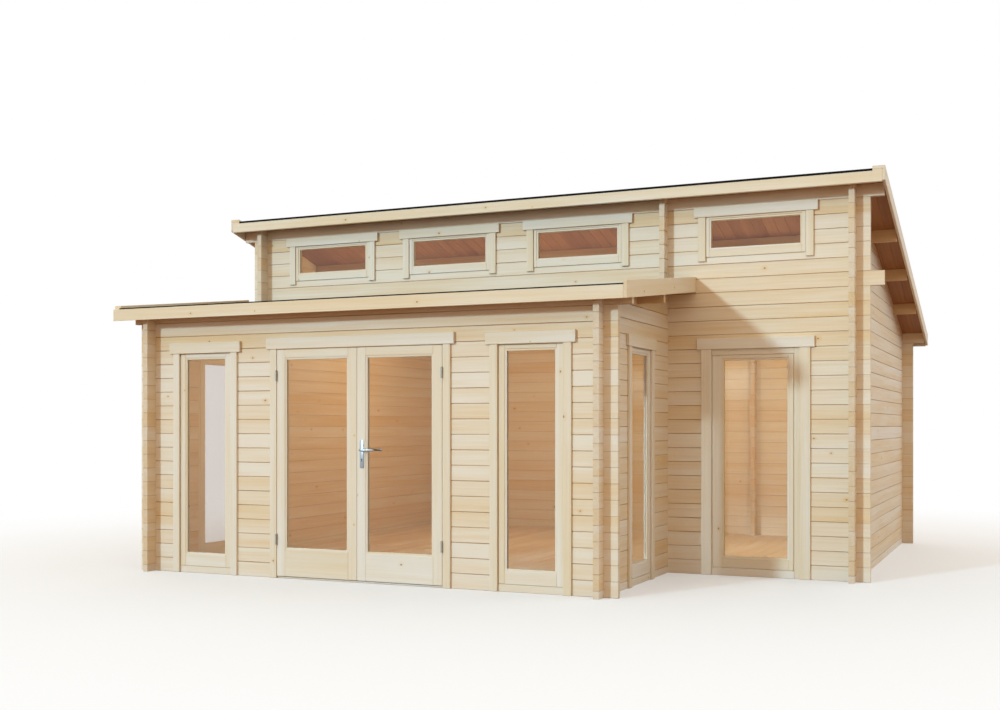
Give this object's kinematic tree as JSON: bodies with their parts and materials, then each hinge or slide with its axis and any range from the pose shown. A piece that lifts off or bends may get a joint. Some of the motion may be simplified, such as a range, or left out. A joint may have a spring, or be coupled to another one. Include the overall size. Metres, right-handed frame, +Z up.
{
  "type": "log summerhouse",
  "caption": "Log summerhouse with a low glazed front annex, a taller mono-pitch main block with clerestory windows, and an outward-opening glazed double door.",
  "frame": {"origin": "on the ground, in the middle of the roof's outline in plan", "axes": "+X along the front from left to right as seen by someone facing it, +Y from front to back, +Z up"},
  "size_m": [5.95, 5.367, 3.1572],
  "materials": {
    "logs": "planed, unpainted spruce",
    "joinery": "planed, unpainted spruce",
    "edge_boards": "planed, unpainted spruce",
    "roof_timber": "planed, unpainted spruce",
    "floor_boards": "planed, unpainted spruce",
    "roofing_felt": "matt mineral felt",
    "glass": "clear",
    "steel": "satin"
  },
  "bodies": {
    "house": {"annex_barge_boards": "edge_boards", "annex_fascia": "edge_boards", "annex_front_wall_left": "logs", "annex_front_wall_over_door": "logs", "annex_front_wall_right": "logs", "annex_purlin": "roof_timber", "annex_roof_boards": "roof_timber", "annex_roof_felt": "roofing_felt", "annex_side_wall": "logs", "annex_side_window": "joinery", "back_wall": "logs", "clerestory_panes": "glass", "clerestory_wall": "logs", "clerestory_window_1": "joinery", "clerestory_window_2": "joinery", "clerestory_window_3": "joinery", "clerestory_window_4": "joinery", "cross_beam_wall": "logs", "cross_wall_back_end": "logs", "door_frame": "joinery", "floor_annex": "floor_boards", "floor_main": "floor_boards", "frame_hinges_left": "steel", "frame_hinges_right": "steel", "front_left_window": "joinery", "front_right_window": "joinery", "left_side_window": "joinery", "left_wall": "logs", "main_barge_boards": "edge_boards", "main_fascias": "edge_boards", "main_front_wall_left_end": "logs", "main_front_wall_right_bay": "logs", "main_purlins": "roof_timber", "main_roof_boards": "roof_timber", "main_roof_felt": "roofing_felt", "right_bay_window": "joinery", "right_wall": "logs", "tall_window_panes": "glass"},
    "left_leaf": {"door_leaf_left": "joinery", "door_pane_left": "glass", "leaf_hinges_left": "steel"},
    "right_leaf": {"door_leaf_right": "joinery", "door_pane_right": "glass", "door_handle": "steel", "leaf_hinges_right": "steel"}
  },
  "joints": [
    {"name": "left_leaf_hinge", "type": "hinge", "parent": "house", "child": "left_leaf", "pos_m": [-1.4815, -2.5138, 1], "axis": [0, 0, -1], "range_deg": [0, 110]},
    {"name": "right_leaf_hinge", "type": "hinge", "parent": "house", "child": "right_leaf", "pos_m": [-0.0145, -2.5138, 1], "axis": [0, 0, 1], "range_deg": [0, 110]}
  ]
}
